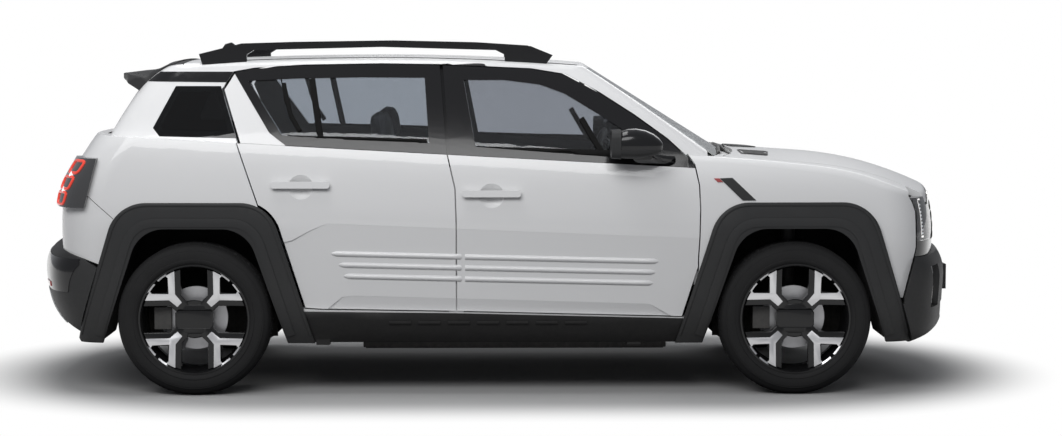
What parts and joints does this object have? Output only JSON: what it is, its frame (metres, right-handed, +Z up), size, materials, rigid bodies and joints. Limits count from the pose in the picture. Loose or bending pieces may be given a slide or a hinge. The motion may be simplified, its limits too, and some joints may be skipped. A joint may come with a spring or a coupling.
{
  "type": "electric crossover",
  "caption": "Compact five-door electric crossover with alloy wheels, black lower cladding, roof rails, opening doors, hood and tailgate, and steered front wheels.",
  "frame": {"origin": "on the ground at the middle of the vehicle's box", "axes": "+X forward, +Y to the vehicle's left, +Z up"},
  "size_m": [4.1495, 2.026, 1.547],
  "materials": {
    "white_paint": "gloss solid white",
    "gloss_black": "piano black",
    "black_plastic": "fine grained",
    "liner_felt": "needled felt",
    "clear_glass": "lightly tinted",
    "dark_glass": "privacy tint",
    "lamp_clear": "clear lens",
    "lamp_red": "red lens",
    "alloy": "machined face over black",
    "tyre_rubber": "matt",
    "suspension_steel": "black coated",
    "cast_aluminium": "cast",
    "battery_case": "black coated",
    "underbody": "underseal",
    "cabin_plastic": "soft grain",
    "seat_fabric": "woven"
  },
  "bodies": {
    "body": {"floor_pan": "underbody", "battery_pack": "battery_case", "drive_motor": "cast_aluminium", "body_side_left": "white_paint", "body_side_right": "white_paint", "roof_panel": "white_paint", "front_fender_left": "white_paint", "front_fender_right": "white_paint", "windscreen": "clear_glass", "quarter_glass": "dark_glass", "front_bumper": "black_plastic", "rear_bumper": "white_paint", "rear_bumper_lower": "black_plastic", "front_panel": "gloss_black", "headlamps": "lamp_clear", "tail_lamps": "lamp_red", "wheel_arch_trims": "black_plastic", "sill_trims": "black_plastic", "wheel_arch_liners": "liner_felt", "roof_rails": "gloss_black", "roof_antenna": "gloss_black", "front_subframe": "suspension_steel", "rear_axle": "suspension_steel", "cowl_panel": "black_plastic", "front_seats": "seat_fabric", "rear_bench": "seat_fabric", "dashboard": "cabin_plastic", "steering_wheel": "cabin_plastic"},
    "front_door_left": {"front_door_left": "white_paint", "front_door_glass_left": "clear_glass", "side_mirror_left": "gloss_black"},
    "rear_door_left": {"rear_door_left": "white_paint", "rear_door_glass_left": "clear_glass"},
    "front_knuckle_left": {"front_knuckle_left": "suspension_steel"},
    "front_door_right": {"front_door_right": "white_paint", "front_door_glass_right": "clear_glass", "side_mirror_right": "gloss_black"},
    "rear_door_right": {"rear_door_right": "white_paint", "rear_door_glass_right": "clear_glass"},
    "front_knuckle_right": {"front_knuckle_right": "suspension_steel"},
    "hood": {"hood": "white_paint"},
    "tailgate": {"tailgate": "white_paint", "tailgate_glass": "dark_glass", "spoiler": "gloss_black"},
    "wheel_front_left": {"wheel_front_left": "alloy", "tyre_front_left": "tyre_rubber"},
    "wheel_front_right": {"wheel_front_right": "alloy", "tyre_front_right": "tyre_rubber"},
    "wheel_rear_left": {"wheel_rear_left": "alloy", "tyre_rear_left": "tyre_rubber"},
    "wheel_rear_right": {"wheel_rear_right": "alloy", "tyre_rear_right": "tyre_rubber"}
  },
  "joints": [
    {"name": "front_door_left_hinge", "type": "hinge", "parent": "body", "child": "front_door_left", "pos_m": [0.8845, 0.8825, 0.7], "axis": [0, 0, -1], "range_deg": [0, 67]},
    {"name": "rear_door_left_hinge", "type": "hinge", "parent": "body", "child": "rear_door_left", "pos_m": [-0.1788, 0.8862, 0.7], "axis": [0, 0, -1], "range_deg": [0, 68]},
    {"name": "front_door_right_hinge", "type": "hinge", "parent": "body", "child": "front_door_right", "pos_m": [0.8845, -0.8825, 0.7], "axis": [0, 0, 1], "range_deg": [0, 67]},
    {"name": "rear_door_right_hinge", "type": "hinge", "parent": "body", "child": "rear_door_right", "pos_m": [-0.1788, -0.8862, 0.7], "axis": [0, 0, 1], "range_deg": [0, 68]},
    {"name": "hood_hinge", "type": "hinge", "parent": "body", "child": "hood", "pos_m": [0.9995, 0, 1.046], "axis": [0, -1, 0], "range_deg": [0, 55]},
    {"name": "tailgate_hinge", "type": "hinge", "parent": "body", "child": "tailgate", "pos_m": [-1.3945, 0, 1.458], "axis": [0, 1, 0], "range_deg": [0, 78]},
    {"name": "steering_left", "type": "hinge", "parent": "body", "child": "front_knuckle_left", "pos_m": [1.305, 0.72, 0.334], "axis": [0, 0, 1], "range_deg": [-34, 34]},
    {"name": "steering_right", "type": "hinge", "parent": "body", "child": "front_knuckle_right", "pos_m": [1.305, -0.72, 0.334], "axis": [0, 0, 1], "range_deg": [-34, 34]},
    {"name": "wheel_front_left_spin", "type": "hinge", "parent": "front_knuckle_left", "child": "wheel_front_left", "pos_m": [1.305, 0.78, 0.334], "axis": [0, 1, 0], "continuous": true},
    {"name": "wheel_front_right_spin", "type": "hinge", "parent": "front_knuckle_right", "child": "wheel_front_right", "pos_m": [1.305, -0.78, 0.334], "axis": [0, 1, 0], "continuous": true},
    {"name": "wheel_rear_left_spin", "type": "hinge", "parent": "body", "child": "wheel_rear_left", "pos_m": [-1.319, 0.78, 0.334], "axis": [0, 1, 0], "continuous": true},
    {"name": "wheel_rear_right_spin", "type": "hinge", "parent": "body", "child": "wheel_rear_right", "pos_m": [-1.319, -0.78, 0.334], "axis": [0, 1, 0], "continuous": true}
  ],
  "couplings": [
    {"joint": "steering_right", "follows": "steering_left", "ratio": 1}
  ]
}
